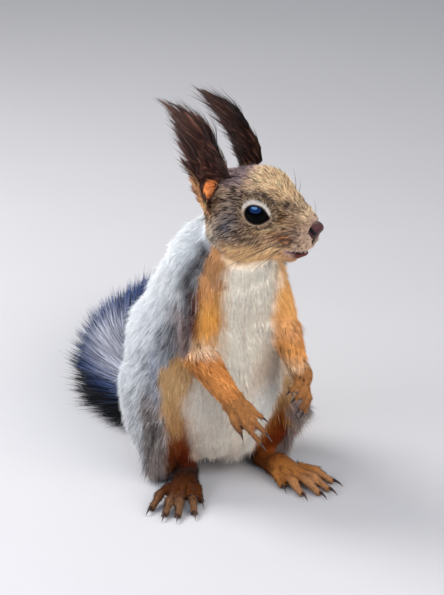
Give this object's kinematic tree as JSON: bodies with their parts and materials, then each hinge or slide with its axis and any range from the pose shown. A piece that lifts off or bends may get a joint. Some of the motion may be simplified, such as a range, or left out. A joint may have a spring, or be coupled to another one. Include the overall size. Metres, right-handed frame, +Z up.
{
  "type": "sitting red squirrel model",
  "caption": "Life-size still model of a tufted-eared squirrel in a grey coat, sitting upright on its hind feet with head turned, hands held before the belly and a bushy tail on the ground.",
  "frame": {"origin": "middle of the bounding box's underside, on the floor", "axes": "+Z up, the chest looks along -Y, +X is the squirrel's left, and the tail runs back along +Y"},
  "size_m": [0.1394, 0.2434, 0.1933],
  "materials": {
    "grey_fur": "grizzled grey short coat",
    "white_fur": "cream-white short coat",
    "russet_fur": "orange-tan short coat",
    "tuft_fur": "dark brown wispy long hair",
    "tail_fur": "grey-brown long hair, darker at its edges",
    "nose_skin": "damp mauve-brown skin",
    "eye": "wet black gloss",
    "claw": "dark horn"
  },
  "bodies": {
    "root": {"ear_left": "tuft_fur", "ear_right": "tuft_fur", "eye_left": "eye", "eye_right": "eye", "finger_claw_left_1": "claw", "finger_claw_left_2": "claw", "finger_claw_left_3": "claw", "finger_claw_left_4": "claw", "finger_claw_right_1": "claw", "finger_claw_right_2": "claw", "finger_claw_right_3": "claw", "finger_claw_right_4": "claw", "foot_left": "russet_fur", "foot_right": "russet_fur", "forearm_left": "russet_fur", "forearm_right": "russet_fur", "hand_left": "russet_fur", "hand_right": "russet_fur", "head": "russet_fur", "neck": "grey_fur", "nose": "nose_skin", "shank_left": "russet_fur", "shank_right": "russet_fur", "tail_base": "tail_fur", "tail_end": "tail_fur", "thigh_left": "grey_fur", "thigh_right": "grey_fur", "toe_claw_left_1": "claw", "toe_claw_left_2": "claw", "toe_claw_left_3": "claw", "toe_claw_left_4": "claw", "toe_claw_left_5": "claw", "toe_claw_right_1": "claw", "toe_claw_right_2": "claw", "toe_claw_right_3": "claw", "toe_claw_right_4": "claw", "toe_claw_right_5": "claw", "torso": "white_fur", "upper_arm_left": "grey_fur", "upper_arm_right": "grey_fur"}
  },
  "joints": []
}
